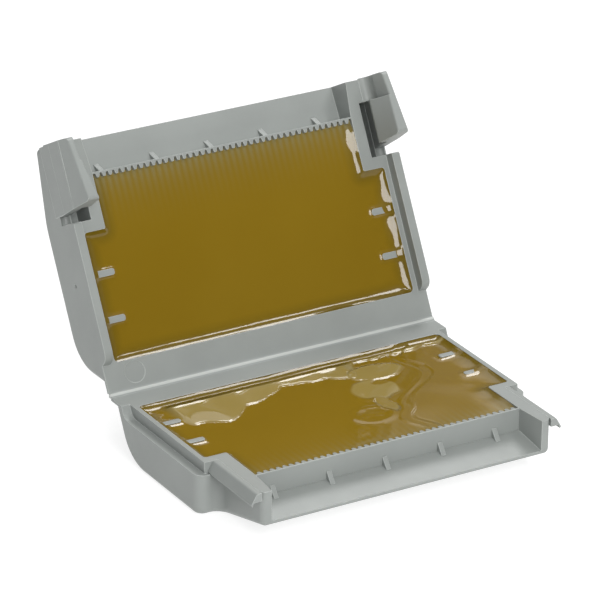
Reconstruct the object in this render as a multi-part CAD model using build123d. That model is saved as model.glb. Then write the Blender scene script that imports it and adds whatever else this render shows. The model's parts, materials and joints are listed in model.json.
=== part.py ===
from build123d import *
import os
from math import atan2, pi, tan

# Hinged gel-filled splice box, in millimetres, with its lid standing open.
# Each half is drawn lying on its back in its own local frame: X runs along the hinge, the hinge line is
# y = 0, the front is -y, and z = 0 is the plane where the two closed halves meet. The base is moved to
# its place from there. The lid is the mirror of that frame, turned up about the hinge line.

# ---- Driving dimensions of both halves ----
HALF_WIDTH = 33.5        # outside half width, along the hinge
DEPTH = 45.4             # hinge line to front lip
HALF_HEIGHT = 9.8        # hinge plane to the flat underside
LIP_HEIGHT = 6.5         # hinge plane to the underside at the front lip
FLAT_FRONT = 31.9        # hinge line to where the underside starts to rise
SKIN = 1.1               # floor and back thickness
KNEE_R = 14.0            # rounding where the underside starts to rise
TOE_R = 0.8              # rounding of the lower front edge
RIM_GAP = 0.1            # each rim stops this far short of the meeting plane
LID_OPEN = 118.3         # lid angle from closed, as stored, degrees

# ---- Hinge side ----
FLANGE = 5.6             # hinge line to the rear wall of the gel pocket
FLANGE_SKIN = 0.45       # flange thickness beside the hinge
FLANGE_EDGE = 2.1        # hinge line to where the back turns down
BACK_CORNER = 6.9        # hinge line to where the straight back would meet the underside
BACK_R = 8.2             # rounding of that corner
POCKET_R = 6.2           # rounding of the gel pocket's rear lower corner
FILM_R = 0.3             # half thickness of the folded hinge film
FILM_WEB = 0.5           # hinge line to the base flange's edge
FILM_SKIN = 0.2          # thickness of the film's web
FILM_SHORT = 0.05        # film ends this far inside each side

# ---- Side walls ----
LEDGE_WIDTH = 1.7        # outer ledge of the base, and the lid's lip that lands on it
LEDGE_DROP = 2.2         # meeting plane to that ledge
LEDGE_START = 4.3        # hinge line to the top of the ledge's ramp
LEDGE_RAMP = 0.95        # length of that ramp
RAMP_R = 2.0             # rounding at its foot
RIM_WALL = 0.9           # raised rim between the ledge and the gel pocket
LIP_PLAY = 0.1           # clearance around the lid's lip
LIP_START = 5.4          # hinge line to the lid lip's rounded end
LIP_FRONT_R = 0.4        # rounding of the lip's front end
SIDE_EDGE_R = 1.1        # rounding of the outer lower side edges

# ---- Front corners, comb and trough ----
PAD_REAR = 28.9          # hinge line to the flat pads at the front corners
THROAT_HALF = 26.6       # half width between the pads
THROAT_FLARE = 0.6       # how much wider each side is at the front lip
POCKET_REAR_R = 0.8      # rounding of the pocket's rear corners in plan
POCKET_SIDE_R = 0.6      # rounding of its corners beside the pads
PAD_R = 0.4              # rounding of the pads' inner corners
PAD_WALL = 2.5           # wall between throat and latch recess
RECESS_START = 31.3      # hinge line to the base's latch recess
RECESS_OUTER_R = 1.9     # rounding of the recess's outer corner
RECESS_INNER_R = 1.8     # rounding inside the recess
RIM_END = 30.55          # hinge line to the front end of the base's raised rim
COMB_FRONT = 39.05       # hinge line to the trough side of the comb wall
COMB_WALL = 0.3
TOOTH_PITCH = 1.25
TOOTH_DEPTH = 0.75
TOOTH_ROOT = 0.9
TOOTH_TIP = 0.45
TOOTH_R = 0.15
TOOTH_SLOPE = 0.05       # drop of a tooth's top from wall to tip
TROUGH_REAR = 4.3        # meeting plane to the trough's floor at the comb wall
TROUGH_FRONT = 5.8       # meeting plane to the trough's floor at the front lip
GUSSET_COUNT = 5
GUSSET_PITCH = 11.2
GUSSET_SHIFT = -1.0      # middle of the row of gussets, from the middle of the box
GUSSET_WIDTH = 0.9
GUSSET_TOP = 2.7         # meeting plane to the top of a gusset
GUSSET_REACH = 1.55      # how far a gusset runs along the trough floor

# ---- Locating fins and gel ----
FIN_PLACES = (13.0, 21.3)
FIN_LENGTH = 4.3
FIN_WIDTH = 1.2
FIN_DROP = 0.5           # rim to fin top
FIN_R = 0.45             # rounding of a fin's tip
GEL_DROP = 1.1           # meeting plane to gel surface

# ---- Base latch tongues ----
TONGUE_TOP = 1.0         # flat top, outwards from the recess wall
BARB_REACH = 2.1         # recess wall to barb tip
BARB_DROP = 2.0          # meeting plane to barb tip
BARB_LIP = 0.3           # height of the barb's turned-down lip
BARB_LIP_WIDTH = 0.5     # width of that lip
BARB_R = 0.15            # rounding of the barb's tip
TONGUE_THICK = 1.5       # tongue thickness at the recess wall
TONGUE_TOP_R = 0.5       # rounding above and below the tongue

# ---- Lid clasps ----
CLASP_WALL = 2.05        # plate thickness
CLASP_AXIS_DROP = 2.5    # meeting plane to the line that the clasp flexes about
CLASP_PLAY = 0.02        # clearance in the flexing root
NOTCH_REAR = 31.0        # hinge line to the rear of the slot and notch
CLASP_REAR = 32.6        # hinge line to the clasp's rear edge at its root
CLASP_RAKE = 1.5         # how far that edge has moved forward at the top
CLASP_CREASE = 3.4       # meeting plane to the crease in the outer face
CLASP_TIP_INSET = 0.8    # how far the outer face leans in above the crease
CLASP_TIP_SHORT = 0.5    # closed clasp ends this far above the base's underside
CLASP_FRONT_R = 1.2      # rounding of the clasp's tip at the front
CLASP_REAR_R = 0.8       # rounding of the clasp's tip at the rear
RIDGE_REAR = 2.4         # width of the clasp's ridge at the rear of the hook
RIDGE_FRONT = 1.3        # width of the ridge at the front of the hook
RIDGE_BLOCK = 1.15       # width of the ridge along the front block
RIDGE_R = 0.35           # rounding of the ridge's two edges
CLASP_FRONT = 0.2        # clasp's front end stands this far past the lip
SLOT_IN = 28.9           # inner edge of the slot beside the clasp
SLOT_DEPTH = 5.4         # meeting plane to the slot's floor
HOOK_FRONT = 41.2        # hinge line to the front end of the hook and slot
HOOK_REACH = 1.85        # hook lip, inwards from the plate
HOOK_PLAY = 0.05         # relief of the hook's catching face at its root
BLOCK_REACH = 0.15       # how far the front block reaches in past the plate
HOOK_CATCH = 2.5         # meeting plane to the hook's catching face
HOOK_LIP = 0.5           # height of the hook's lip
FOOT_R = 1.15            # concave blend between pad and front block

# ---- Small moulding marks ----
PIN_MARK_R = 2.0
PIN_MARK_DEPTH = 0.12
PIN_MARK_AT = (-27.5, -3.3)
GATE_DIMPLE_R = 0.4
GATE_DIMPLE_AT = (-20.2, -3.0)

# ---- Worked out from the above ----
EPS = 0.01
BIG = 100.0
TRIM = 1.0               # extra length on a body that is then cut to its side view
SIDE_EDGE_MIN = 0.5      # shortest fore-and-aft edge that is rounded under a half
SIDE_EDGE_TOP = -3.0     # those edges lie below this height
OPEN = 5.0               # how far a cutting shape runs on past an open face
RIM_Z = -RIM_GAP
POCKET_HALF = HALF_WIDTH - LEDGE_WIDTH - RIM_WALL
RIM_OUT = HALF_WIDTH - LEDGE_WIDTH
RECESS_HALF = THROAT_HALF + PAD_WALL
PLATE_IN = HALF_WIDTH - CLASP_WALL
AXIS_X = HALF_WIDTH - CLASP_WALL / 2
COMB_REAR = COMB_FRONT - COMB_WALL
RISE = (HALF_HEIGHT - LIP_HEIGHT) / (DEPTH - FLAT_FRONT)
BACK_TURN = pi / 2 - atan2(BACK_CORNER - FLANGE_EDGE, HALF_HEIGHT - RIM_GAP - FLANGE_SKIN)
FLAT_REAR = BACK_CORNER + BACK_R * tan(BACK_TURN / 2)
HINGE_Y = (FLAT_REAR + FLAT_FRONT) / 2
HINGE_Z = HALF_HEIGHT


def underside(y):
    """Height of the underside at a distance y in front of the hinge line."""
    return -HALF_HEIGHT + max(0.0, y - FLAT_FRONT) * RISE


def side_prism(face, half_width, centre=0.0):
    """Extrude a face drawn in (y, z) to both sides of x = centre."""
    return Pos(centre, 0, 0) * extrude(Plane.YZ * face, amount=half_width, both=True)


def plan_prism(face):
    """Extrude a face drawn in (x, y) right through the part."""
    return extrude(face, amount=BIG, both=True)


def end_prism(face, y_rear, y_front):
    """Extrude a face drawn in (x, z) from y_rear to y_front, both measured in front of the hinge."""
    plane = Plane(origin=(0, -y_rear, 0), x_dir=(1, 0, 0), z_dir=(0, -1, 0))
    return extrude(plane * face, amount=y_front - y_rear)


def polygon(*points):
    return make_face(Polyline(*points, close=True))


def block(low, high):
    size = [b - a for a, b in zip(low, high)]
    middle = [(a + b) / 2 for a, b in zip(low, high)]
    return Pos(*middle) * Box(*size)


def both_sides(shape):
    return [shape, mirror(shape, about=Plane.YZ)]


def near(shapes, y, z):
    """The vertices of a (y, z) face that lie at one point."""
    return [v for v in shapes if abs(v.X - y) < EPS and abs(v.Y - z) < EPS]


def rounded(points, rounds):
    """A polygon with some corners rounded: {corner: radius}."""
    face = polygon(*points)
    for (x, y), radius in rounds.items():
        face = fillet(near(face.vertices(), x, y), radius)
    return face


def outer_profile():
    """Side view of the whole moulding's outside."""
    flange_z = RIM_Z - FLANGE_SKIN
    edge = (-FLANGE_EDGE, flange_z)
    heel = (-BACK_CORNER, -HALF_HEIGHT)
    knee = (-FLAT_FRONT, -HALF_HEIGHT)
    toe = (-DEPTH, -LIP_HEIGHT)
    points = [(-FILM_WEB, RIM_Z), (-FILM_WEB, flange_z), edge, heel, knee, toe, (-DEPTH, RIM_Z)]
    return rounded(points, {heel: BACK_R, knee: KNEE_R, toe: TOE_R})


def trough_floor(y):
    """Height of the trough's floor at a distance y in front of the hinge line."""
    share = (y - COMB_FRONT) / (DEPTH - COMB_FRONT)
    return -TROUGH_REAR - (TROUGH_FRONT - TROUGH_REAR) * share


def cavity_profile():
    """Side view of the hollow, open at the top and front: the gel pocket, then the shallower trough."""
    front = DEPTH + OPEN
    heel = (-FLANGE, -HALF_HEIGHT + SKIN)
    knee = (-FLAT_FRONT, -HALF_HEIGHT + SKIN)
    points = [(-FLANGE, OPEN), heel, knee, (-COMB_FRONT, underside(COMB_FRONT) + SKIN),
              (-COMB_FRONT, -TROUGH_REAR), (-front, trough_floor(front)), (-front, OPEN)]
    return rounded(points, {heel: POCKET_R, knee: KNEE_R - SKIN})


def half_plan(points, rounds):
    """A plan outline from its right half, with some corners rounded."""
    face = rounded(points, rounds)
    return face + mirror(face, about=Plane.YZ)


def base_plan():
    """Plan of the base, stepped in at the front corners where the clasps go."""
    points = [(0, -FILM_WEB), (HALF_WIDTH, -FILM_WEB), (HALF_WIDTH, -RECESS_START),
              (RECESS_HALF, -RECESS_START), (RECESS_HALF, -DEPTH), (0, -DEPTH)]
    rounds = {(HALF_WIDTH, -RECESS_START): RECESS_OUTER_R, (RECESS_HALF, -RECESS_START): RECESS_INNER_R}
    return half_plan(points, rounds)


def lid_plan():
    points = [(0, -FILM_WEB), (HALF_WIDTH, -FILM_WEB), (HALF_WIDTH, -DEPTH), (0, -DEPTH)]
    return half_plan(points, {})


def cavity_plan():
    front = DEPTH + OPEN
    flared = THROAT_HALF + THROAT_FLARE * (front - COMB_FRONT) / (DEPTH - COMB_FRONT)
    points = [(0, -FLANGE), (POCKET_HALF, -FLANGE), (POCKET_HALF, -PAD_REAR), (THROAT_HALF, -PAD_REAR),
              (THROAT_HALF, -COMB_FRONT), (flared, -front), (0, -front)]
    rounds = {(POCKET_HALF, -FLANGE): POCKET_REAR_R, (POCKET_HALF, -PAD_REAR): POCKET_SIDE_R,
              (THROAT_HALF, -PAD_REAR): PAD_R}
    return half_plan(points, rounds)


def cavity():
    return plan_prism(cavity_plan()) & side_prism(cavity_profile(), BIG)


def is_lower_side_edge(edge):
    """True for the outer edges that run fore and aft along the sides of the underside."""
    low, high = edge.bounding_box().min, edge.bounding_box().max
    along_side = high.Y - low.Y > SIDE_EDGE_MIN
    outboard = min(abs(low.X), abs(high.X)) > RECESS_HALF - EPS
    return along_side and outboard and high.Z < SIDE_EDGE_TOP


def moulding(plan):
    """One half's solid outside, with its lower side edges rounded."""
    body = plan_prism(plan) & side_prism(outer_profile(), HALF_WIDTH)
    edges = [e for e in body.edges() if is_lower_side_edge(e)]
    return fillet(edges, SIDE_EDGE_R)


def ledge_cut():
    """The base's outer ledge: a ramp near the hinge, then level to the front of the raised rim."""
    foot = LEDGE_START + LEDGE_RAMP
    points = [(-LEDGE_START, OPEN), (-LEDGE_START, RIM_Z), (-foot, -LEDGE_DROP),
              (-BIG, -LEDGE_DROP), (-BIG, OPEN)]
    face = rounded(points, {(-foot, -LEDGE_DROP): RAMP_R})
    strip = block((RIM_OUT, -RIM_END - EPS, -BIG), (BIG, 0, BIG))
    corner = block((RECESS_HALF, -BIG, -BIG), (BIG, -RIM_END, BIG))
    return side_prism(face, BIG) & (strip + corner)


def base_shell():
    shell = moulding(base_plan()) - cavity()
    for cut in both_sides(ledge_cut()):
        shell = shell - cut
    return shell


def lid_lip():
    """The lid's raised lip, which lands on the base's ledge."""
    top = LEDGE_DROP - LIP_PLAY
    shoulder = (-LIP_START - LEDGE_RAMP, top)
    points = [(-LIP_START, RIM_Z), shoulder, (-NOTCH_REAR, top), (-NOTCH_REAR, RIM_Z)]
    face = rounded(points, {shoulder: RAMP_R, (-NOTCH_REAR, top): LIP_FRONT_R})
    inner = RIM_OUT + LIP_PLAY
    return side_prism(face, (HALF_WIDTH - inner) / 2, (HALF_WIDTH + inner) / 2)


def root_cylinder(radius):
    """The line that a clasp flexes about, as a cylinder."""
    face = Pos(AXIS_X, -CLASP_AXIS_DROP) * Circle(radius)
    return end_prism(face, NOTCH_REAR, DEPTH + OPEN)


def clasp_room():
    """What the lid shell leaves out for one clasp: notch, plate and the seat of its root."""
    seat = root_cylinder(CLASP_WALL / 2 + CLASP_PLAY)
    plate = block((PLATE_IN - CLASP_PLAY, -BIG, -CLASP_AXIS_DROP), (BIG, -NOTCH_REAR, BIG))
    return seat + plate


def slot():
    """The blind slot that the hook hangs over."""
    return block((SLOT_IN, -HOOK_FRONT, -SLOT_DEPTH), (PLATE_IN, -NOTCH_REAR, BIG))


def foot_room():
    """Where the front block's concave foot leaves the pad."""
    return block((PLATE_IN - FOOT_R, -BIG, RIM_Z), (BIG, -HOOK_FRONT, BIG))


def lid_shell():
    shell = moulding(lid_plan()) - cavity()
    for lip in both_sides(lid_lip()):
        shell = shell + lip
    for side in both_sides(clasp_room() + slot() + foot_room()):
        shell = shell - side
    mark = Pos(*PIN_MARK_AT, RIM_Z) * Cylinder(PIN_MARK_R, 2 * PIN_MARK_DEPTH)
    dimple = Pos(-HALF_WIDTH, *GATE_DIMPLE_AT) * Sphere(GATE_DIMPLE_R)
    return shell - mark - dimple


def comb_wall():
    """Thin wall across the throat with a row of teeth on its gel side, standing on the floor."""
    wall = block((-THROAT_HALF, -COMB_FRONT, -BIG), (THROAT_HALF, -COMB_REAR, RIM_Z))
    tip_y = -COMB_REAR + TOOTH_DEPTH
    root_y = -COMB_REAR - EPS
    root, tip = TOOTH_ROOT / 2, TOOTH_TIP / 2
    points = [(-root, root_y), (root, root_y), (tip, tip_y), (-tip, tip_y)]
    outline = rounded(points, {(tip, tip_y): TOOTH_R, (-tip, tip_y): TOOTH_R})
    slope = polygon((-COMB_FRONT, RIM_Z), (-COMB_REAR, RIM_Z), (tip_y, RIM_Z - TOOTH_SLOPE),
                    (tip_y, -BIG), (-COMB_FRONT, -BIG))
    tooth = extrude(outline, amount=-BIG) & side_prism(slope, TOOTH_ROOT)
    count = int(2 * (THROAT_HALF - root) / TOOTH_PITCH) + 1
    first = -(count - 1) / 2 * TOOTH_PITCH
    teeth = [Pos(first + i * TOOTH_PITCH, 0, 0) * tooth for i in range(count)]
    return (wall + teeth) & cavity()


def gusset_ribs():
    """Small triangular ribs that brace the comb wall from the trough floor."""
    toe = COMB_FRONT + GUSSET_REACH
    face = polygon((-COMB_FRONT, -GUSSET_TOP), (-toe, trough_floor(toe)), (-toe, -BIG), (-COMB_FRONT, -BIG))
    first = GUSSET_SHIFT - (GUSSET_COUNT - 1) / 2 * GUSSET_PITCH
    room = cavity()
    return [side_prism(face, GUSSET_WIDTH / 2, first + i * GUSSET_PITCH) & room for i in range(GUSSET_COUNT)]


def locating_fins():
    """Two fins on each side wall, which keep the spliced connectors centred in the gel."""
    room = cavity()
    fins = []
    for place in FIN_PLACES:
        fin = block((POCKET_HALF - FIN_LENGTH, -place - FIN_WIDTH / 2, -BIG),
                    (POCKET_HALF, -place + FIN_WIDTH / 2, RIM_Z - FIN_DROP))
        fin = fillet([e for e in fin.edges() if is_fin_tip_edge(e)], FIN_R)
        fins += both_sides(fin & room)
    return fins


def is_fin_tip_edge(edge):
    box = edge.bounding_box()
    upright = box.max.Z - box.min.Z > FIN_WIDTH / 2
    return upright and box.max.X < POCKET_HALF - FIN_LENGTH + EPS


def gel_fill(neighbours):
    """The gel: everything in the pocket behind the comb, up to just below the rim."""
    room = cavity() & block((-BIG, -COMB_REAR, -BIG), (BIG, 0, -GEL_DROP))
    for shape in neighbours:
        room = room - shape
    return room


def latch_tongue(shell):
    """A tongue along the top of the base's recess, with a barb for the clasp's hook."""
    brow = (RECESS_HALF + TONGUE_TOP, RIM_Z)
    tip = (RECESS_HALF + BARB_REACH, -BARB_DROP)
    under = RIM_Z - TONGUE_THICK
    lip = (tip[0] - BARB_LIP_WIDTH / 2, -BARB_DROP - BARB_LIP)
    throat = (tip[0] - BARB_LIP_WIDTH, under)
    points = [(RECESS_HALF, RIM_Z), brow, tip, lip, throat, (RECESS_HALF, under)]
    face = rounded(points, {brow: TONGUE_TOP_R, throat: BARB_R, tip: BARB_R})
    return end_prism(face, RIM_END, DEPTH) - shell


def clasp_tip(y):
    """Height of the clasp's ridge at a distance y in front of the hinge line."""
    return -underside(y) - CLASP_TIP_SHORT


def clasp_section(y, reach, ridge):
    """Section of a clasp at y: its hook's reach and the width of its ridge."""
    outer = (HALF_WIDTH - CLASP_TIP_INSET, clasp_tip(y))
    inner = (outer[0] - ridge, outer[1])
    points = [(PLATE_IN, -CLASP_AXIS_DROP), (PLATE_IN, HOOK_CATCH - HOOK_PLAY),
              (PLATE_IN - reach + EPS, HOOK_CATCH), (PLATE_IN - reach, HOOK_CATCH + HOOK_LIP), inner, outer,
              (HALF_WIDTH, CLASP_CREASE), (HALF_WIDTH, -CLASP_AXIS_DROP)]
    plane = Plane(origin=(0, -y, 0), x_dir=(1, 0, 0), z_dir=(0, -1, 0))
    return plane * rounded(points, {inner: RIDGE_R, outer: RIDGE_R})


def clasp_side():
    """Side view of a clasp: raked at the rear, with its two upper corners rounded."""
    height = HALF_HEIGHT + CLASP_AXIS_DROP
    drop = (CLASP_REAR - FLAT_FRONT) * RISE + CLASP_TIP_SHORT
    rear = CLASP_REAR + CLASP_RAKE * (height - drop) / (height + CLASP_RAKE * RISE)
    front = DEPTH + CLASP_FRONT
    rear_tip, front_tip = (-rear, clasp_tip(rear)), (-front, clasp_tip(front))
    points = [(-CLASP_REAR, -BIG), (-CLASP_REAR, -CLASP_AXIS_DROP), rear_tip, front_tip, (-front, -BIG)]
    return rounded(points, {rear_tip: CLASP_REAR_R, front_tip: CLASP_FRONT_R})


def front_block():
    """The clasp's solid front end, with its concave foot on the pad."""
    y_front = DEPTH + CLASP_FRONT
    ends = [clasp_section(y, BLOCK_REACH, RIDGE_BLOCK) for y in (HOOK_FRONT, y_front)]
    base_z = RIM_Z + CLASP_PLAY
    foot_in = PLATE_IN - FOOT_R
    foot_top = base_z + FOOT_R
    foot_out = PLATE_IN + EPS
    square = polygon((foot_in, base_z), (foot_out, base_z), (foot_out, foot_top), (foot_in, foot_top))
    foot = square - Pos(foot_in, foot_top) * Circle(FOOT_R)
    return loft(ends, ruled=True) + end_prism(foot, HOOK_FRONT, y_front)


def lid_clasp():
    """The right clasp: a plate that flexes about its root, a hook over the slot and a solid front end."""
    hook_rear = clasp_section(CLASP_REAR - TRIM, HOOK_REACH, RIDGE_REAR)
    hook = loft([hook_rear, clasp_section(HOOK_FRONT, HOOK_REACH, RIDGE_FRONT)], ruled=True)
    root = root_cylinder(CLASP_WALL / 2)
    return (hook + front_block() + root) & side_prism(clasp_side(), BIG)


def hinge_film():
    """The folded film along the hinge line, with its web to the base's flange."""
    bead = Circle(FILM_R)
    web = polygon((-FILM_WEB, RIM_Z), (0, RIM_Z), (0, RIM_Z - FILM_SKIN), (-FILM_WEB, RIM_Z - FILM_SKIN))
    return side_prism(bead + web, HALF_WIDTH - FILM_SHORT)


def as_base(shape):
    return Pos(0, HINGE_Y, HINGE_Z) * shape


def as_lid(shape):
    opened = Rot(X=-LID_OPEN) * mirror(shape, about=Plane.XY)
    return Pos(0, HINGE_Y, HINGE_Z) * opened


def write(name, shapes):
    solids = [s for shape in shapes for s in shape.solids()]
    export_step(Compound(children=solids), f"parts/{name}.step")


def main():
    os.makedirs("parts", exist_ok=True)
    shells = {"base": base_shell(), "lid": lid_shell()}
    comb, gussets, fins = comb_wall(), gusset_ribs(), locating_fins()
    gel = gel_fill([comb] + fins)
    for half, place in (("base", as_base), ("lid", as_lid)):
        write(f"{half}_shell", [place(shells[half])])
        write(f"{half}_comb_wall", [place(comb)])
        write(f"{half}_gusset_ribs", [place(g) for g in gussets])
        write(f"{half}_locating_fins", [place(f) for f in fins])
        write(f"{half}_gel", [place(gel)])
    write("hinge_film", [as_base(hinge_film())])
    right, left = both_sides(latch_tongue(shells["base"]))
    write("base_latch_tongue_right", [as_base(right)])
    write("base_latch_tongue_left", [as_base(left)])
    right, left = both_sides(lid_clasp())
    write("lid_clasp_right", [as_lid(right)])
    write("lid_clasp_left", [as_lid(left)])


main()
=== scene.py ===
import json
import math

import bmesh
import bpy
from mathutils import Matrix, Vector, noise


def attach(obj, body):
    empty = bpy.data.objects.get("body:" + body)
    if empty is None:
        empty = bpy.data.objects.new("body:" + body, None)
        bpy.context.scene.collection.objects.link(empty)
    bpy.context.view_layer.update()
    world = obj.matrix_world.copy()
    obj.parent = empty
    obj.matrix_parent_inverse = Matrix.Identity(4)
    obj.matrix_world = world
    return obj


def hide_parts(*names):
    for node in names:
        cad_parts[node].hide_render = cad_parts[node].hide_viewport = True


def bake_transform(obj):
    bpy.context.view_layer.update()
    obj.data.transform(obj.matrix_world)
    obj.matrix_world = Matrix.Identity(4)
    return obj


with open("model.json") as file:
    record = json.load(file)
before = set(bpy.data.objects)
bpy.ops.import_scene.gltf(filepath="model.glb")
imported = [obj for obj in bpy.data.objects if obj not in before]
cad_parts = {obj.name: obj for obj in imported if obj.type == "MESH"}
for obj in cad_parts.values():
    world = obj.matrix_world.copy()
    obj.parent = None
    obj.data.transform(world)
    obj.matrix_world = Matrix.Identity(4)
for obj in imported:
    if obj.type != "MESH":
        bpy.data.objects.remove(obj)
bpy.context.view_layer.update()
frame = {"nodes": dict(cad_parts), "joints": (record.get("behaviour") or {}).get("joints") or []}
NODES = frame["nodes"]
MM = 0.001

# ---- Dimensions of each half, in mm, in its own frame ----
# x runs along the hinge, y is 0 at the hinge and negative to the front, z is 0 where the closed halves meet.
HALF_WIDTH = 33.5        # outside half width
DEPTH = 45.4             # hinge line to front lip
RIM_Z = -0.1
POCKET_HALF = 30.9       # half width of the gel pocket
THROAT_HALF = 26.6       # half width of the gel between the front pads
POCKET_REAR = 5.6        # hinge line to the pocket's rear wall
POCKET_R = 6.2           # rounding of the pocket's rear lower corner
PAD_REAR = 28.9          # hinge line to the front pads
COMB_REAR = 38.75        # hinge line to the comb wall
TOOTH_TIPS = 38.0        # hinge line to the tips of the comb's teeth
TOOTH_PITCH = 1.25
FLOOR = 8.7              # meeting plane to the pocket's floor
KNEE = 31.9              # hinge line to where the floor starts to rise
RISE = 0.2444            # slope of the floor from there
FIN_PLACES = (13.0, 21.3)
FIN_TIP = 26.6           # middle of the box to a fin's free end
FIN_WIDTH = 1.2
PLATE_IN = 31.45         # inner face of a clasp's plate
CLASP_AXIS_DROP = 2.5    # meeting plane to the line that a clasp flexes about
CLASP_PLAY = 0.02        # clearance in the flexing root
CLASP_REAR = 32.6        # hinge line to the clasp's rear edge at its root
CLASP_RAKE = 1.5         # how far that edge leans forward
CLASP_HEIGHT = 12.3      # height over which it leans that far
CLASP_CREASE = 3.4       # meeting plane to the crease in a clasp's outer face
CLASP_END = 45.6         # hinge line to a clasp's front end
HOOK_FRONT = 41.2        # hinge line to the front end of a clasp's hook
FOOT_R = 1.15            # concave blend between pad and front block

hinge = next(j for j in frame["joints"] if j["name"] == "lid_hinge")
HINGE_AT = Vector(hinge["pos_m"])
LID_OPEN = -math.radians(hinge["range_deg"][0])


def half_matrix(half):
    """From a half's own frame, in mm, to the row frame, in metres."""
    to_row = Matrix.Translation(HINGE_AT) @ Matrix.Scale(MM, 4)
    if half == "base":
        return to_row
    return to_row @ Matrix.Rotation(-LID_OPEN, 4, "X") @ Matrix.Scale(-1, 4, (0, 0, 1))


# ---- Camera ----
CAMERA_AT = Vector((-0.37794, -0.61492, 0.35571))
AZIMUTH = math.radians(-31.03)
ELEVATION = math.radians(24.31)
ROLL = math.radians(0.69)
LENS_MM = 274.8
SENSOR_MM = 36.0
VIEW_REACH = 20.0


def make_camera():
    back = Vector((math.sin(AZIMUTH) * math.cos(ELEVATION), -math.cos(AZIMUTH) * math.cos(ELEVATION),
                   math.sin(ELEVATION)))
    data = bpy.data.cameras.new("camera")
    data.lens = LENS_MM
    data.sensor_width = SENSOR_MM
    data.clip_end = VIEW_REACH
    camera = bpy.data.objects.new("camera", data)
    bpy.context.scene.collection.objects.link(camera)
    turn = back.to_track_quat("Z", "Y").to_matrix().to_4x4() @ Matrix.Rotation(ROLL, 4, "Z")
    camera.matrix_world = Matrix.Translation(CAMERA_AT) @ turn
    bpy.context.scene.camera = camera


# ---- Node helpers ----
NOISE_LOW = 0.35
NOISE_HIGH = 0.65


class Nodes:
    """A node tree, with short calls to add and link nodes."""

    def __init__(self, tree, shader):
        self.tree = tree
        self.shader = tree.nodes[shader]

    def add(self, kind, inputs=(), **settings):
        node = self.tree.nodes.new(kind)
        for key, value in settings.items():
            setattr(node, key, value)
        for key, value in dict(inputs).items():
            self.put(node.inputs[key], value)
        return node

    def put(self, socket, value):
        if isinstance(value, bpy.types.NodeSocket):
            self.tree.links.new(value, socket)
        else:
            socket.default_value = value

    def set(self, **inputs):
        """Set or link the shader's inputs, with _ for a space in their names."""
        for key, value in inputs.items():
            self.put(self.shader.inputs[key.replace("_", " ")], value)

    def noise(self, scale, detail=3.0, roughness=0.5):
        where = self.add("ShaderNodeTexCoord").outputs["Object"]
        inputs = {"Vector": where, "Scale": scale, "Detail": detail, "Roughness": roughness}
        return self.add("ShaderNodeTexNoise", inputs).outputs["Fac"]

    def range(self, value, from_low, from_high, low, high):
        inputs = {"Value": value, "From Min": from_low, "From Max": from_high, "To Min": low, "To Max": high}
        return self.add("ShaderNodeMapRange", inputs).outputs["Result"]

    def spread(self, noise, low, high):
        """Noise, which keeps near its middle, spread over low to high."""
        return self.range(noise, NOISE_LOW, NOISE_HIGH, low, high)

    def mix(self, factor, first, second):
        node = self.add("ShaderNodeMix", data_type="RGBA")
        for index, value in ((0, factor), (6, first), (7, second)):
            self.put(node.inputs[index], value)
        return node.outputs[2]

    def scaled(self, value, by):
        return self.add("ShaderNodeMath", {0: value, 1: by}, operation="MULTIPLY").outputs[0]

    def attribute(self, name):
        return self.add("ShaderNodeAttribute", attribute_name=name).outputs["Fac"]


def new_material(name):
    material = bpy.data.materials.new(name)
    material.use_nodes = True
    return material, Nodes(material.node_tree, "Principled BSDF")


def srgb(red, green, blue, gain=1.0):
    """A linear colour from 8-bit sRGB values, made lighter or darker by gain."""
    def linear(c):
        c = c / 255
        return min(1.0, gain * (c / 12.92 if c <= 0.04045 else ((c + 0.055) / 1.055) ** 2.4))
    return (linear(red), linear(green), linear(blue), 1.0)


# ---- Materials ----
GREY = (143, 147, 144)
# painted highlight colour for the hinge bead
HINGE_HIGHLIGHT = srgb(214, 217, 213)
AMBER_DARK = srgb(122, 97, 19)
AMBER_LIGHT = srgb(126, 101, 23)
# painted shade colour of the gel by the walls
AMBER_WALL_SHADE = srgb(82, 72, 22)
RIB_OLIVE = srgb(128, 120, 84)
# painted reflection colour for the base gel's lifted skin
REFLECTION_PALE = srgb(152, 138, 88)
EDGE_R = 0.00025         # width of the rounded edges and of their painted highlight, in metres


def moulded_plastic(name, shade):
    """Satin moulded plastic: faint flow mottling, a fine texture, a painted highlight along its edges,
    and a paler painted highlight on the hinge bead where it is marked."""
    material, m = new_material(name)
    flow = m.spread(m.noise(90, 4, 0.55), 0, 1)
    colour = m.mix(flow, srgb(*shade, gain=0.95), srgb(*shade, gain=1.02))
    bevel = m.add("ShaderNodeBevel", {"Radius": EDGE_R}, samples=8)
    flat = m.add("ShaderNodeNewGeometry").outputs["Normal"]
    turn = m.add("ShaderNodeVectorMath", {0: bevel.outputs["Normal"], 1: flat}, operation="DOT_PRODUCT")
    # painted highlight: paler along every edge, where the bevel normal turns away from the face's own
    edge = m.range(turn.outputs["Value"], 0.985, 0.80, 0, 0.9)
    colour = m.mix(edge, colour, srgb(*shade, gain=1.8))
    # painted highlight: a paler colour on the hinge bead, where a point attribute marks it
    colour = m.mix(m.scaled(m.attribute("hinge_highlight"), 0.5), colour, HINGE_HIGHLIGHT)
    grain = m.add("ShaderNodeBump", {"Height": m.noise(2600, 2, 0.6), "Strength": 0.06, "Distance": 0.0001,
                                     "Normal": bevel.outputs["Normal"]})
    m.set(Base_Color=colour, Roughness=m.spread(m.noise(400), 0.45, 0.48),
          Normal=grain.outputs["Normal"], IOR=1.49, Specular_IOR_Level=0.42)
    return material


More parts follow.
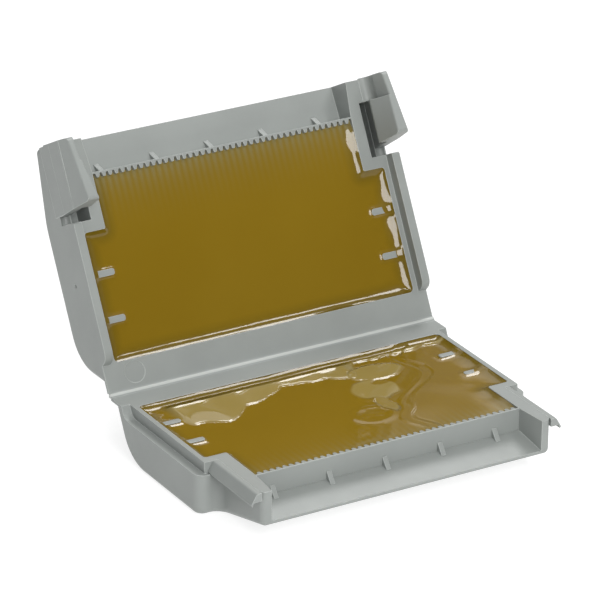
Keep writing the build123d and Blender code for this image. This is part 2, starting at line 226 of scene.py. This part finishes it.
def gel_material(name):
    """Soft amber gel with a wet surface: painted shade by the walls, a painted pale reflection where its
    skin is lifted, and the comb's ribs showing dimly through it."""
    material, m = new_material(name)
    amber = m.mix(m.spread(m.noise(30, 2), 0, 1), AMBER_DARK, AMBER_LIGHT)
    # painted shade: the amber darkens towards the walls
    edge = m.range(m.attribute("wall"), 0.2, 3.0, 0.55, 0)
    colour = m.mix(edge, amber, AMBER_WALL_SHADE)
    colour = m.mix(m.attribute("ribs"), colour, RIB_OLIVE)
    # painted reflection: a pale tint where the base gel's skin is lifted
    colour = m.mix(m.scaled(m.attribute("painted_reflection"), 0.55), colour, REFLECTION_PALE)
    lift = m.add("ShaderNodeBump", {"Height": m.attribute("lift"), "Strength": 1.0, "Distance": MM})
    ripple = m.add("ShaderNodeBump", {"Height": m.noise(220, 2, 0.4), "Strength": 0.03, "Distance": 0.0005,
                                      "Normal": lift.outputs["Normal"]})
    m.set(Base_Color=colour, Roughness=m.spread(m.noise(300, 2), 0.03, 0.07),
          Normal=ripple.outputs["Normal"], IOR=1.42, Subsurface_Weight=0.12,
          Subsurface_Radius=(0.0014, 0.0011, 0.0005), Subsurface_Scale=1.0)
    return material


# ---- Gel ----
GEL_DROP = 1.1           # meeting plane to the gel's flat surface
GEL_TOP = -0.17          # the gel stays below this height, clear of the other half
GRID = 0.3               # spacing of the surface's points
CLIMB = 0.92             # height of the meniscus at a wall
CLIMB_REACH = 0.75       # how fast it falls away from the wall
FIN_CLIMB = 0.28
FIN_REACH = 0.5
COMB_CALM = 0.75         # share of the climb that is missing at the comb
COMB_REACH = 0.8
RIB_REACH = 2.4          # how far from the comb its ribs show
SKIN_RISE = 0.12         # height of the lifted skin
SIDE_RISE = 0.14         # height of the folded side
CREASE_RISE = 0.10
DIMPLE_RIM = 0.14
DIMPLE_DEPTH = 0.10
SKIN_TILT = 0.16         # slopes of the lifted skin, the swirls and the folded side
SWIRL_TILT = 0.05
SWIRL_LEVEL = -16        # the y at which the swirls keep their height
SIDE_TILT = 0.02
SIDE_LEVEL = -20

# Curves of the base gel's surface, as points for curve(): the front of the lifted skin gives y for
# each x, and the fold gives x for each y.
LIFT_FRONT = ((-29, -9.5), (-24.5, -15.5), (-19, -17.2), (-12, -13.0), (-3, -9.9), (4, -11.0),
              (9, -13.0), (12, -8.0))
FOLD = ((-36.5, 12.0), (-31, 10.0), (-26, 13.0), (-16, 23.0), (-9, 21.0), (-6, 24.0))
FOLD_HALF = 0.3          # half width of the fold
FOLD_CREASE = 2.2        # a crease lies this far left of the fold

# Ovals of the base gel's surface: the middle's x and y, half width and half depth.
REAR_SWIRL = (13.5, -12.3, 5.2, 3.0)
MIDDLE_SWIRL = (9.8, -18.4, 4.4, 3.6)
FRONT_SWIRL = (8.6, -24.0, 1.8, 3.6)
SWIRL_GAP = (12.3, -16.2, 1.9, 1.0)
DIMPLE = (4.4, -26.8, 3.6, 2.8)


def smooth(value, low, high):
    """0 below low, 1 above high and a smooth step between."""
    t = min(max((value - low) / (high - low), 0.0), 1.0)
    return t * t * (3 - 2 * t)


def curve(points, at):
    """A smooth line through a few (place, value) points."""
    for (a, u), (b, v) in zip(points, points[1:]):
        if at <= b:
            return u + (v - u) * smooth(at, a, b)
    return points[-1][1]


def rough(x, y, wide, deep, layer):
    """Smooth noise between about -1 and 1, with its size along x and y in mm. Each layer differs."""
    return noise.noise(Vector((x / wide, y / deep, layer)))


def ridge(distance, width):
    """1 on a line, falling off to both sides of it."""
    return math.exp(-(distance / width) ** 2)


def wall_distance(x, y):
    """Distance from a point of the gel's surface to the nearest wall but the comb's, in mm."""
    ax, front = abs(x), -y
    side = POCKET_HALF - ax if front < PAD_REAR else THROAT_HALF - ax
    found = [side, front - POCKET_REAR]
    if front < PAD_REAR:
        found.append(math.hypot(PAD_REAR - front, max(THROAT_HALF - ax, 0.0)))
    return max(min(found), 0.0)


def fin_distance(x, y):
    """Distance from a point of the gel's surface to the nearest fin, in mm."""
    across = min(max(abs(-y - place) - FIN_WIDTH / 2, 0.0) for place in FIN_PLACES)
    return math.hypot(across, max(FIN_TIP - abs(x), 0.0))


def oval_reach(x, y, oval):
    """0 at an oval's middle and 1 on its edge."""
    at_x, at_y, wide, deep = oval
    return math.hypot((x - at_x) / wide, (y - at_y) / deep)


def blob(x, y, oval):
    """1 inside an oval, 0 outside it, with a short edge."""
    return 1 - smooth(oval_reach(x, y, oval), 0.93, 1.07)


def skin_wobble(x, y):
    """How far the edge of the lifted skin strays, in mm."""
    return 0.9 * rough(x, y, 2.8, 2.8, 4.0)


def lifted_band(x, y):
    """1 where the base gel's skin has lifted off along the rear, behind a wavy front."""
    front = curve(LIFT_FRONT, x)
    band = smooth(y + skin_wobble(x, y), front, front + 0.5)
    return band * smooth(x, -27.5, -25.0) * (1 - smooth(y, -7.4, -6.6))


def swirls(x, y):
    """1 in the swirls right of the middle."""
    wobble = skin_wobble(x, y)
    swirl = max(blob(x + wobble, y, REAR_SWIRL), blob(x, y + wobble, MIDDLE_SWIRL),
                0.7 * blob(x + wobble, y, FRONT_SWIRL))
    return swirl * (1 - 0.8 * blob(x, y, SWIRL_GAP))


def lifted_skin(x, y):
    """1 where the base gel's skin has lifted off; the same mask places the gel's painted pale reflection."""
    return max(lifted_band(x, y), swirls(x, y))


def folded_side(x, y):
    """1 right of the fold in the base gel, fading towards the wall."""
    at = curve(FOLD, y) + 0.3 * rough(x, y, 3, 3, 9.0)
    return smooth(x, at - FOLD_HALF, at + FOLD_HALF) * (1 - smooth(x, 20, 30))


def base_relief(x, y):
    """Unevenness of the base gel's surface, in mm."""
    slow = 0.12 * rough(x, y, 12, 9, 3.1)
    skin = SKIN_RISE * lifted_skin(x, y) + SIDE_RISE * folded_side(x, y)
    ring = oval_reach(x, y, DIMPLE)
    dimple = DIMPLE_RIM * ridge(ring - 1, 0.25) - DIMPLE_DEPTH * ridge(ring, 0.5)
    crease_x = curve(FOLD, y) - FOLD_CREASE
    crease = CREASE_RISE * ridge(x - crease_x, 0.4)
    return slow + skin + dimple + crease


def skin_slope(x, y):
    """Height that tilts the lifted skin towards the front, in mm."""
    band = SKIN_TILT * (y - curve(LIFT_FRONT, x)) * lifted_band(x, y)
    swirl = SWIRL_TILT * (y - SWIRL_LEVEL) * swirls(x, y)
    return band + swirl + SIDE_TILT * (y - SIDE_LEVEL) * folded_side(x, y)


def lid_relief(x, y):
    """Unevenness of the lid gel's surface, in mm."""
    return 0.04 * rough(x, y, 15, 12, 21.7)


def nowhere(x, y):
    """The painted reflection or lift of a gel that has none."""
    return 0.0


def rib_shade(x, y):
    """How much of the comb's ribs shows through the gel at a point."""
    fade = math.exp(-max(TOOTH_TIPS + y, 0.0) / RIB_REACH)
    stripe = 0.5 + 0.5 * math.cos(2 * math.pi * (x / TOOTH_PITCH - 0.5))
    return fade * (0.30 + 0.70 * stripe)


def gel_height(x, y, relief):
    """Height of the gel's surface: climbing at walls and fins, and as uneven as relief says."""
    comb = max(TOOTH_TIPS + y, 0.0)
    uneven = rough(x, y, 3.5, 3.5, 12.0)
    reach = CLIMB_REACH + 0.08 * uneven + (0.5 + 0.5 * uneven) * smooth(x, 20, 27)
    climb = CLIMB * math.exp(-wall_distance(x, y) / reach)
    climb += FIN_CLIMB * math.exp(-fin_distance(x, y) / FIN_REACH)
    climb *= 1 - COMB_CALM * math.exp(-comb / COMB_REACH)
    free = -GEL_DROP + climb + relief(x, y) * smooth(min(wall_distance(x, y), comb), 0.0, 1.2)
    return min(free, GEL_TOP)


def floor_height(y):
    """Height of the pocket's floor, which is rounded at the rear and rises at the front."""
    short = max(POCKET_R - (-y - POCKET_REAR), 0.0)
    round_up = POCKET_R - math.sqrt(max(POCKET_R ** 2 - short ** 2, 0.0))
    return -FLOOR + round_up + max(0.0, -y - KNEE) * RISE


def gel_mesh(half, relief, painted_reflection, lift):
    """A closed body: a fine height field on top, straight sides and the pocket's floor."""
    columns = round(2 * POCKET_HALF / GRID)
    rows = round((COMB_REAR - POCKET_REAR) / GRID)
    xs = [-POCKET_HALF + 2 * POCKET_HALF * i / columns for i in range(columns + 1)]
    ys = [-POCKET_REAR - (COMB_REAR - POCKET_REAR) * j / rows for j in range(rows + 1)]

    def inside(i, j):
        x, y = (xs[i] + xs[i + 1]) / 2, (ys[j] + ys[j + 1]) / 2
        return abs(x) < THROAT_HALF + GRID / 2 or -y < PAD_REAR + GRID / 2

    cells = {(i, j) for i in range(columns) for j in range(rows) if inside(i, j)}
    verts, faces, top, bottom = [], [], {}, {}

    def vertex(table, key, z):
        if key not in table:
            table[key] = len(verts)
            verts.append((xs[key[0]], ys[key[1]], z))
        return table[key]

    for i, j in sorted(cells):
        corners = [(i, j), (i, j + 1), (i + 1, j + 1), (i + 1, j)]
        upper = [vertex(top, k, gel_height(xs[k[0]], ys[k[1]], relief)) for k in corners]
        lower = [vertex(bottom, k, floor_height(ys[k[1]])) for k in corners]
        faces.append(upper)
        faces.append(lower[::-1])
        for side, beside in enumerate(((i - 1, j), (i, j + 1), (i + 1, j), (i, j - 1))):
            if beside not in cells:
                a, b = side, (side + 1) % 4
                faces.append([upper[b], upper[a], lower[a], lower[b]])
    mesh = bpy.data.meshes.new(f"{half}_gel_fill")
    mesh.from_pydata(verts, [], faces)
    shades = {"wall": wall_distance, "ribs": rib_shade, "painted_reflection": painted_reflection, "lift": lift}
    for name, shade in shades.items():
        values = mesh.attributes.new(name, "FLOAT", "POINT")
        values.data.foreach_set("value", [shade(x, y) for x, y, z in verts])
    mesh.transform(half_matrix(half))
    if half == "lid":
        mesh.flip_normals()
    mesh.shade_smooth()
    mesh.set_sharp_from_angle(angle=math.radians(60))
    return mesh


def add_piece(name, mesh, material):
    piece = bpy.data.objects.new(name, mesh)
    bpy.context.scene.collection.objects.link(piece)
    mesh.materials.append(material)
    return piece


def make_gel(half, relief, painted_reflection, lift, material):
    piece = add_piece(f"{half}_gel_fill", gel_mesh(half, relief, painted_reflection, lift), material)
    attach(piece, half)
    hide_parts(f"{half}_gel")


# ---- Hinge film and clasp roots ----
STEPS = 24               # steps along a strip
FILM_R = 0.36            # the bead on the hinge line
FILM_HIGHLIGHT_REACH = 0.40        # the hinge bead gets a painted highlight this close to the hinge line
FILM_SHORT = 0.05        # the film ends this far inside each side
OVER_GAP = math.radians(16)    # the bead stops this far short of each half, above and below
UNDER_GAP = math.radians(26)

# The film's upper and under side in each half, as (distance from the hinge line, height).
FILM_TOP = ((1.4, -0.15), (0.85, -0.096), (0.65, -0.085), (0.5, -0.04), (0.41, 0.05))
FILM_BACK = ((0.42, -0.17), (0.6, -0.22), (1.4, -0.25))

# Sections of a clasp's skins, as (x, z), and where each skin starts to bend and has bent.
ROOT_FACE = [(HALF_WIDTH + 0.01, z) for z in (-3.8, -3.0, -2.5, -2.0, -1.2)]
ROOT_SKIN = [(HALF_WIDTH - 0.4, -4.4), (HALF_WIDTH + 0.005, -4.4), *ROOT_FACE,
             (HALF_WIDTH + 0.005, -0.6), (HALF_WIDTH - 0.4, -0.6)]
ROOT_BEND = ((HALF_WIDTH, -3.4), (HALF_WIDTH, -1.6))
FOOT_BEND = ((PLATE_IN - 1.2, 0), (PLATE_IN, 1.0))
CREASE_SHORT = 0.05      # the crease line ends this far inside each end of the clasp
CREASE_OFFSETS = ((-0.2, 0), (-0.01, -0.25), (0.04, -0.06), (0.04, 0.06), (-0.06, 0.28))
CREASE_BEAD = [(HALF_WIDTH + out, CLASP_CREASE + up) for out, up in CREASE_OFFSETS]
FOOT_PROUD = 0.03        # the foot's skin stands this far off the plastic


def strip_mesh(name, section, ends, matrix, highlight_within=0.0):
    """A closed strip: a section of (a, b) points swept between two ends along one axis. ends maps a
    section point and a share of the way to a point in mm. Points nearer to the section's origin than
    the given reach are marked for the hinge bead's painted highlight."""
    verts, faces = [], []
    count = len(section)
    for t in range(STEPS + 1):
        verts += [ends(a, b, t / STEPS) for a, b in section]
    for t in range(STEPS):
        for i in range(count):
            j = (i + 1) % count
            low, high = t * count, (t + 1) * count
            faces.append([low + i, low + j, high + j, high + i])
    faces.append(list(range(count))[::-1])
    faces.append([STEPS * count + i for i in range(count)])
    mesh = bpy.data.meshes.new(name)
    mesh.from_pydata(verts, [], faces)
    # points near the hinge line are marked for the hinge bead's painted highlight
    hinge_highlight = mesh.attributes.new("hinge_highlight", "FLOAT", "POINT")
    hinge_highlight.data.foreach_set("value", [float(math.hypot(a, b) < highlight_within) for a, b in section] * (STEPS + 1))
    mesh.transform(matrix)
    turn_faces_out(mesh)
    mesh.shade_smooth()
    mesh.set_sharp_from_angle(angle=math.radians(40))
    return mesh


def turn_faces_out(mesh):
    bm = bmesh.new()
    bm.from_mesh(mesh)
    bmesh.ops.recalc_face_normals(bm, faces=bm.faces)
    bm.to_mesh(mesh)
    bm.free()


def film_section():
    """Section across the hinge, in (y, z): a rounded bead with a web to each flange."""
    lid_angle = math.pi - LID_OPEN

    def on_base(along, up):
        return (-along, up)

    def on_lid(along, up):
        c, s = math.cos(lid_angle), math.sin(lid_angle)
        return (along * c - up * s, along * s + up * c)

    def bead(start, end, count):
        angles = [start + (end - start) * i / (count - 1) for i in range(count)]
        return [(FILM_R * math.cos(t), FILM_R * math.sin(t)) for t in angles]

    over = bead(math.pi - OVER_GAP, lid_angle + OVER_GAP, 7)
    under = bead(lid_angle - UNDER_GAP, UNDER_GAP - math.pi, 12)
    return ([on_base(a, b) for a, b in FILM_TOP] + over
            + [on_lid(a, b) for a, b in FILM_TOP[::-1]] + [on_lid(a, b) for a, b in FILM_BACK[::-1]]
            + under + [on_base(a, b) for a, b in FILM_BACK])


def make_hinge(material):
    length = 2 * (HALF_WIDTH - FILM_SHORT)
    matrix = half_matrix("base")

    def along(y, z, share):
        return ((share - 0.5) * length, y, z)

    mesh = strip_mesh("hinge_skin", film_section(), along, matrix, FILM_HIGHLIGHT_REACH)
    piece = add_piece("hinge_skin", mesh, material)
    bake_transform(piece)
    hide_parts("hinge_film")


def rear_of_clasp(z):
    """Distance from the hinge line to the clasp's slanted rear edge."""
    return CLASP_REAR + CLASP_RAKE * (z + CLASP_AXIS_DROP) / CLASP_HEIGHT


def foot_section():
    """The concave skin from the pad up to the front block."""
    cx, cz = PLATE_IN - FOOT_R, RIM_Z + CLASP_PLAY + FOOT_R
    radius = FOOT_R - FOOT_PROUD
    angles = [math.radians(90 * i / 8) for i in range(9)]
    arc = [(cx + radius * math.sin(t), cz - radius * math.cos(t)) for t in angles]
    return [(cx - 0.5, RIM_Z + 0.005)] + arc + [(PLATE_IN + 0.08, cz + 0.3), (PLATE_IN + 0.2, cz + 0.2),
                                               (PLATE_IN + 0.2, RIM_Z - 0.2), (cx - 0.5, RIM_Z - 0.1)]


def make_clasp_skins(side, sign, material):
    """Skins over a clasp's root and its foot, and the crease line that rides on the clasp."""
    matrix = half_matrix("lid") @ Matrix.Scale(sign, 4, (1, 0, 0))

    def along(rear, front):
        return lambda x, z, t: (x, -(rear(z) + (front - rear(z)) * t), z)

    root = along(lambda z: max(rear_of_clasp(z), CLASP_REAR), DEPTH + 0.02)
    foot = along(lambda z: HOOK_FRONT + 0.02, CLASP_END - 0.01)
    skins = {"root_skin": (ROOT_SKIN, root, ROOT_BEND), "foot_skin": (foot_section(), foot, FOOT_BEND)}
    for part, (section, ends, bend) in skins.items():
        name = f"clasp_{side}_{part}"
        piece = add_piece(name, strip_mesh(name, section, ends, matrix), material)
        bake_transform(piece)
    name = f"clasp_{side}_crease"
    ends = along(lambda z: rear_of_clasp(z) + CREASE_SHORT, CLASP_END - CREASE_SHORT)
    piece = add_piece(name, strip_mesh(name, CREASE_BEAD, ends, matrix), material)
    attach(piece, f"clasp_{side}")


# ---- Stage ----
FLOOR_REACH = 3.0
LIT_AT = Vector((0, 0.01, 0.02))
# Each light's place, diameter and power.
LIGHTS = {"key": ((-0.18, -0.72, 0.53), 0.46, 5.9),
          "back": ((0.40, 0.38, 0.72), 0.30, 2.6),
          "rim": ((0.43, -0.29, 0.75), 0.14, 0.7)}
FLOOR_DARK = srgb(150, 150, 150)
FLOOR_LIGHT = srgb(154, 154, 154)
FLOOR_GLOW = 0.78

# The studio around: its colour low down, then what is seen towards a direction, as the direction, how
# many degrees from it the colour starts and is full, and the colour.
HORIZON = (0.18, 0.185, 0.19, 1)
SKY = {"overhead": ((0, 0, 1), 85, 20, (0.50, 0.50, 0.50, 1)),
       "window": ((0.35, 0.6, 1.0), 28, 16, (1.8, 1.8, 1.8, 1)),
       "dark_card": ((0.47, -0.77, 0.43), 26, 14, (0.04, 0.04, 0.04, 1))}


def make_floor():
    mesh = bpy.data.meshes.new("floor")
    corners = [(x * FLOOR_REACH, y * FLOOR_REACH, 0) for x, y in ((-1, -1), (1, -1), (1, 1), (-1, 1))]
    mesh.from_pydata(corners, [], [(0, 1, 2, 3)])
    floor = bpy.data.objects.new("floor", mesh)
    bpy.context.scene.collection.objects.link(floor)
    material, m = new_material("pale_floor")
    m.set(Base_Color=m.mix(m.noise(2), FLOOR_DARK, FLOOR_LIGHT), Roughness=0.9,
          Emission_Color=(1, 1, 1, 1), Emission_Strength=FLOOR_GLOW)
    mesh.materials.append(material)


def area_light(name, place, size, power):
    data = bpy.data.lights.new(name, "AREA")
    data.shape = "DISK"
    data.size = size
    data.energy = power
    light = bpy.data.objects.new(name, data)
    bpy.context.scene.collection.objects.link(light)
    aim = (Vector(place) - LIT_AT).to_track_quat("Z", "Y").to_matrix().to_4x4()
    light.matrix_world = Matrix.Translation(Vector(place)) @ aim


def make_world():
    """A studio that is brighter overhead, with a window high behind and a dark card at the front right."""
    world = bpy.data.worlds.new("studio")
    bpy.context.scene.world = world
    world.use_nodes = True
    n = Nodes(world.node_tree, "Background")
    direction = n.add("ShaderNodeTexCoord").outputs["Generated"]

    def facing(towards, edge, full):
        """1 within full degrees of a direction and 0 beyond edge degrees of it."""
        target = Vector(towards).normalized()
        dot = n.add("ShaderNodeVectorMath", {0: direction, 1: target}, operation="DOT_PRODUCT")
        start, end = math.cos(math.radians(edge)), math.cos(math.radians(full))
        return n.range(dot.outputs["Value"], start, end, 0, 1)

    colour = HORIZON
    for towards, edge, full, shade in SKY.values():
        colour = n.mix(facing(towards, edge, full), colour, shade)
    n.set(Color=colour, Strength=1.0)


# ---- Build ----
make_camera()
plastic = moulded_plastic("grey_polypropylene", GREY)
gel = gel_material("amber_gel")
for name, node in NODES.items():
    for slot in node.material_slots:
        slot.material = gel if name.endswith("_gel") else plastic
# lifted_skin shapes the relief and also places the base gel's painted pale reflection
make_gel("base", base_relief, lifted_skin, skin_slope, gel)
make_gel("lid", lid_relief, nowhere, nowhere, gel)
make_hinge(plastic)
make_clasp_skins("right", 1, plastic)
make_clasp_skins("left", -1, plastic)
make_floor()
make_world()
for name, (place, size, power) in LIGHTS.items():
    area_light(name, place, size, power)
bpy.context.scene.view_settings.view_transform = "Standard"
